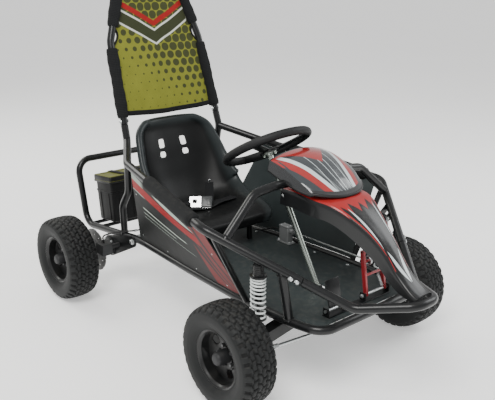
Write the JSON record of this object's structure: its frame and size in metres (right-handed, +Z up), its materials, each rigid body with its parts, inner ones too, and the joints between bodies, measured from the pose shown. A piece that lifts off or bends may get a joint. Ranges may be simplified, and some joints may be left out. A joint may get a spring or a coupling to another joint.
{
  "type": "off road go kart",
  "caption": "Off road kart for a child: tube frame, bucket seat, sprung front swing arms, steering, pedals, chain driven rear axle and a roll bar with a cloth.",
  "frame": {"origin": "on the ground, at the centre of the bounding box's bottom", "axes": "+X across to the driver's left, +Y towards the back, +Z up"},
  "size_m": [0.955, 1.7152, 1.4057],
  "materials": {
    "black_paint": "satin",
    "black_rubber": "matte",
    "tyre_rubber": "matte",
    "black_plastic": "matte",
    "black_foam": "matte",
    "printed_panel": "gloss",
    "zinc_steel": "satin",
    "white_spring": "gloss",
    "red_paint": "satin",
    "printed_cloth": "matte",
    "dark_steel": "matte",
    "grey_metal": "matte",
    "black_webbing": "matte"
  },
  "bodies": {
    "chassis": {"lower_frame": "black_paint", "side_frame_left": "black_paint", "side_frame_right": "black_paint", "front_bumper_loop": "black_paint", "roll_bar": "black_paint", "knee_hoop": "black_paint", "rear_rack": "black_paint", "floor_pan": "black_paint", "column_bushing": "black_paint", "pedal_stand": "black_paint", "side_panel_left": "printed_panel", "side_panel_right": "printed_panel", "nose_hood": "printed_panel", "arm_pad_left": "black_foam", "arm_pad_right": "black_foam", "bearing_housing_left": "dark_steel", "bearing_housing_right": "dark_steel", "drive_chain": "dark_steel", "motor": "dark_steel", "brake_caliper": "dark_steel", "flag_cloth": "printed_cloth", "seat_shell": "black_plastic", "nose_cone": "black_plastic", "battery_box": "black_plastic", "battery_lid": "black_plastic", "lap_belt_left": "black_webbing", "lap_belt_right": "black_webbing", "master_cylinder": "grey_metal", "brake_line": "black_rubber"},
    "steering": {"steering_grip": "black_foam", "steering_spokes": "black_paint", "steering_column": "zinc_steel"},
    "rear_wheels": {"rear_axle": "dark_steel", "axle_sprocket": "dark_steel", "brake_disc": "zinc_steel", "tyre_rear_left": "tyre_rubber", "tyre_rear_right": "tyre_rubber", "rim_rear_left": "black_paint", "rim_rear_right": "black_paint"},
    "motor_pinion": {"motor_sprocket": "dark_steel"},
    "brake_pedal_arm": {"brake_pedal": "red_paint"},
    "brake_rod_bar": {"brake_rod": "zinc_steel"},
    "throttle_pedal_arm": {"throttle_pedal": "black_paint"},
    "swing_left": {"swing_arm_left": "black_paint"},
    "upright_left": {"knuckle_left": "dark_steel"},
    "tie_left": {"tie_rod_left": "zinc_steel"},
    "damper_left": {"shock_body_left": "black_paint", "coil_spring_left": "white_spring"},
    "damper_rod_left": {"shock_rod_left": "zinc_steel"},
    "front_wheel_left": {"tyre_front_left": "tyre_rubber", "rim_front_left": "black_paint"},
    "swing_right": {"swing_arm_right": "black_paint"},
    "upright_right": {"knuckle_right": "dark_steel"},
    "tie_right": {"tie_rod_right": "zinc_steel"},
    "damper_right": {"shock_body_right": "black_paint", "coil_spring_right": "white_spring"},
    "damper_rod_right": {"shock_rod_right": "zinc_steel"},
    "front_wheel_right": {"tyre_front_right": "tyre_rubber", "rim_front_right": "black_paint"}
  },
  "joints": [
    {"name": "steering_turn", "type": "hinge", "parent": "chassis", "child": "steering", "pos_m": [0, -0.162, 0.684], "axis": [0, 0.5075, 0.8616], "range_deg": [-25, 25]},
    {"name": "rear_axle_spin", "type": "hinge", "parent": "chassis", "child": "rear_wheels", "pos_m": [0, 0.564, 0.165], "axis": [1, 0, 0], "continuous": true},
    {"name": "motor_sprocket_spin", "type": "hinge", "parent": "chassis", "child": "motor_pinion", "pos_m": [0.165, 0.297, 0.3078], "axis": [1, 0, 0], "continuous": true},
    {"name": "brake_pedal_press", "type": "hinge", "parent": "chassis", "child": "brake_pedal_arm", "pos_m": [0.088, -0.586, 0.272], "axis": [1, 0, 0], "range_deg": [0, 12], "stiffness_Nm_per_rad": 12, "springref_deg": -5.73},
    {"name": "throttle_pedal_press", "type": "hinge", "parent": "chassis", "child": "throttle_pedal_arm", "pos_m": [-0.096, -0.586, 0.272], "axis": [1, 0, 0], "range_deg": [0, 18], "stiffness_Nm_per_rad": 6, "springref_deg": -5.73},
    {"name": "brake_rod_pull", "type": "slide", "parent": "chassis", "child": "brake_rod_bar", "axis": [-0.2649, -0.9539, 0.1407], "range_m": [0, 0.0222]},
    {"name": "swing_arm_left_bump", "type": "hinge", "parent": "chassis", "child": "swing_left", "pos_m": [0.075, -0.446, 0.208], "axis": [0, -1, 0], "range_deg": [-4, 5], "stiffness_Nm_per_rad": 700},
    {"name": "knuckle_left_steer", "type": "hinge", "parent": "swing_left", "child": "upright_left", "pos_m": [0.318, -0.446, 0.165], "axis": [0, 0, 1], "range_deg": [-19.5, 19.5]},
    {"name": "tie_rod_left_swing", "type": "hinge", "parent": "upright_left", "child": "tie_left", "pos_m": [0.3, -0.516, 0.1775], "axis": [0, 0, 1], "range_deg": [-19.5, 19.5]},
    {"name": "shock_left_tilt", "type": "hinge", "parent": "chassis", "child": "damper_left", "pos_m": [0.29, -0.446, 0.439], "axis": [0, 1, 0], "range_deg": [-1, 1]},
    {"name": "shock_left_stroke", "type": "slide", "parent": "damper_left", "child": "damper_rod_left", "axis": [0, 0, 1], "range_m": [-0.0155, 0.0195], "deforming": ["coil_spring_left"]},
    {"name": "front_wheel_left_spin", "type": "hinge", "parent": "upright_left", "child": "front_wheel_left", "pos_m": [0.407, -0.446, 0.165], "axis": [1, 0, 0], "continuous": true},
    {"name": "swing_arm_right_bump", "type": "hinge", "parent": "chassis", "child": "swing_right", "pos_m": [-0.075, -0.446, 0.208], "axis": [0, 1, 0], "range_deg": [-4, 5], "stiffness_Nm_per_rad": 700},
    {"name": "knuckle_right_steer", "type": "hinge", "parent": "swing_right", "child": "upright_right", "pos_m": [-0.318, -0.446, 0.165], "axis": [0, 0, 1], "range_deg": [-19.5, 19.5]},
    {"name": "tie_rod_right_swing", "type": "hinge", "parent": "upright_right", "child": "tie_right", "pos_m": [-0.3, -0.516, 0.1775], "axis": [0, 0, 1], "range_deg": [-19.5, 19.5]},
    {"name": "shock_right_tilt", "type": "hinge", "parent": "chassis", "child": "damper_right", "pos_m": [-0.29, -0.446, 0.439], "axis": [0, -1, 0], "range_deg": [-1, 1]},
    {"name": "shock_right_stroke", "type": "slide", "parent": "damper_right", "child": "damper_rod_right", "axis": [0, 0, 1], "range_m": [-0.0155, 0.0195], "deforming": ["coil_spring_right"]},
    {"name": "front_wheel_right_spin", "type": "hinge", "parent": "upright_right", "child": "front_wheel_right", "pos_m": [-0.407, -0.446, 0.165], "axis": [1, 0, 0], "continuous": true}
  ],
  "couplings": [
    {"joint": "motor_sprocket_spin", "follows": "rear_axle_spin", "ratio": 2.6667},
    {"joint": "brake_rod_pull", "follows": "brake_pedal_press", "m_per_rad": 0.1036},
    {"joint": "knuckle_left_steer", "follows": "steering_turn", "ratio": 0.64},
    {"joint": "tie_rod_left_swing", "follows": "steering_turn", "ratio": -0.76},
    {"joint": "shock_left_tilt", "follows": "swing_arm_left_bump", "ratio": 0.075},
    {"joint": "shock_left_stroke", "follows": "swing_arm_left_bump", "m_per_rad": 0.2148},
    {"joint": "knuckle_right_steer", "follows": "steering_turn", "ratio": 0.64},
    {"joint": "tie_rod_right_swing", "follows": "steering_turn", "ratio": -0.76},
    {"joint": "shock_right_tilt", "follows": "swing_arm_right_bump", "ratio": 0.075},
    {"joint": "shock_right_stroke", "follows": "swing_arm_right_bump", "m_per_rad": 0.2148}
  ]
}
